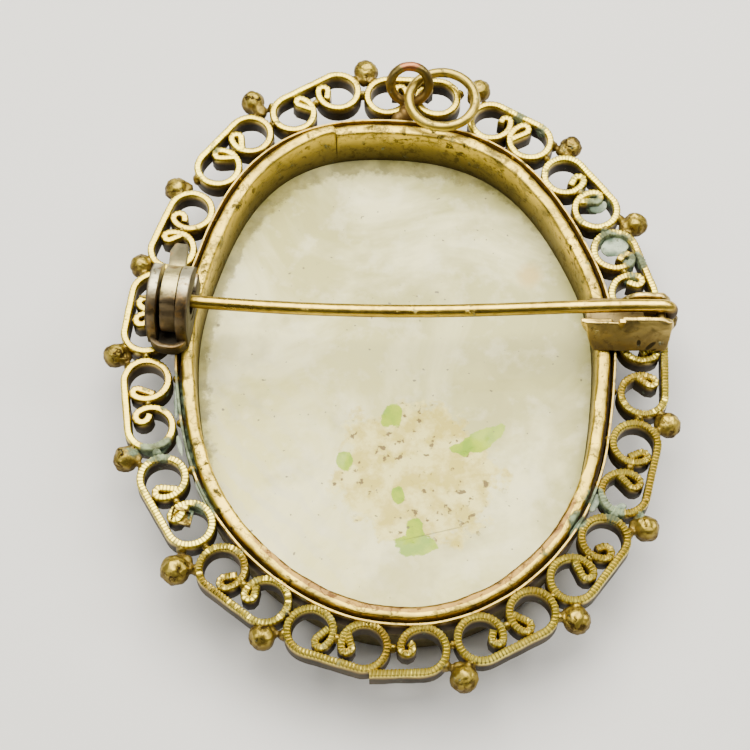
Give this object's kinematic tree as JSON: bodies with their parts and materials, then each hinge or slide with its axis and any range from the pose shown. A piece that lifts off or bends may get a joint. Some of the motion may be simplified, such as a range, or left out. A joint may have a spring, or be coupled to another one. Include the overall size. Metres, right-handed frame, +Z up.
{
  "type": "cameo brooch pendant",
  "caption": "Oval shell cameo in a gilt bezel with a pierced scroll border and beaded edge, a hinged pin with a turning safety catch on the back, and a jump ring at the top.",
  "frame": {"origin": "centre of the outline on the table, level with the lowest face of the front lip", "axes": "+Z up, the pin side; the brooch lies face down. +Y along the oval's length towards the bail eye and the jump ring. +X towards the pin's hinge, so the pin points along -X to the catch."},
  "size_m": [0.0434, 0.0536, 0.0112],
  "materials": {
    "gilt_frame": "worn gilt with verdigris",
    "cameo_plaque": "polished shell, stained",
    "catch_housing": "tarnished nickel",
    "catch_rotor": "tarnished nickel",
    "hinge_bracket": "tarnished gilt",
    "hinge_rivet": "tarnished",
    "pin_stem": "polished",
    "jump_ring": "worn gilt"
  },
  "bodies": {
    "brooch": {"gilt_frame": "gilt_frame", "cameo_plaque": "cameo_plaque", "catch_housing": "catch_housing", "hinge_bracket": "hinge_bracket", "hinge_rivet": "hinge_rivet", "jump_ring": "jump_ring"},
    "stem": {"pin_stem": "pin_stem"},
    "rotor": {"catch_rotor": "catch_rotor"}
  },
  "joints": [
    {"name": "pin_hinge", "type": "hinge", "parent": "brooch", "child": "stem", "pos_m": [0.02004, 0.00209, 0.00779], "axis": [0, 1, 0], "range_deg": [0, 100]},
    {"name": "catch_turn", "type": "hinge", "parent": "brooch", "child": "rotor", "pos_m": [-0.01641, 0.00231, 0.0086], "axis": [0.9925, -0.1219, 0], "range_deg": [0, 120]}
  ]
}
